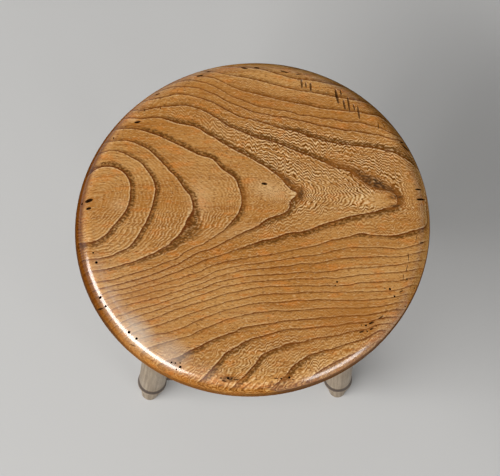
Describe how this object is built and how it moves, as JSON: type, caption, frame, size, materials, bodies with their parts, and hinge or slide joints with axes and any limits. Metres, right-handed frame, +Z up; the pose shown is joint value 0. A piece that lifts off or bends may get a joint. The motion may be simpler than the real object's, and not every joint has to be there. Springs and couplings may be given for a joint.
{
  "type": "stool",
  "caption": "Low round stool: thick elm seat with rounded edges on splayed turned legs tied by an H of turned rails.",
  "frame": {"origin": "on the floor, under the middle of the seat", "axes": "+Z up; X along the grain of the seat and along the two side rails; -Y is the front, which the picture shows nearest"},
  "size_m": [0.3268, 0.3225, 0.3],
  "materials": {
    "seat_elm": "waxed and polished honey-brown elm with dark growth rings",
    "leg_beech": "dry grey-brown turned wood, worn, with dark scribed rings",
    "rail_beech": "grey-brown turned wood, darker with old polish",
    "wedge_wood": "riven hardwood, unfinished"
  },
  "bodies": {
    "root": {"seat": "seat_elm", "leg_front_left": "leg_beech", "leg_front_right": "leg_beech", "leg_back_right": "leg_beech", "leg_back_left": "leg_beech", "rail_front": "rail_beech", "rail_back": "rail_beech", "rail_middle": "rail_beech", "tenon_wedge_front_left": "wedge_wood", "tenon_wedge_front_right": "wedge_wood", "tenon_wedge_back_right": "wedge_wood", "tenon_wedge_back_left": "wedge_wood"}
  },
  "joints": []
}
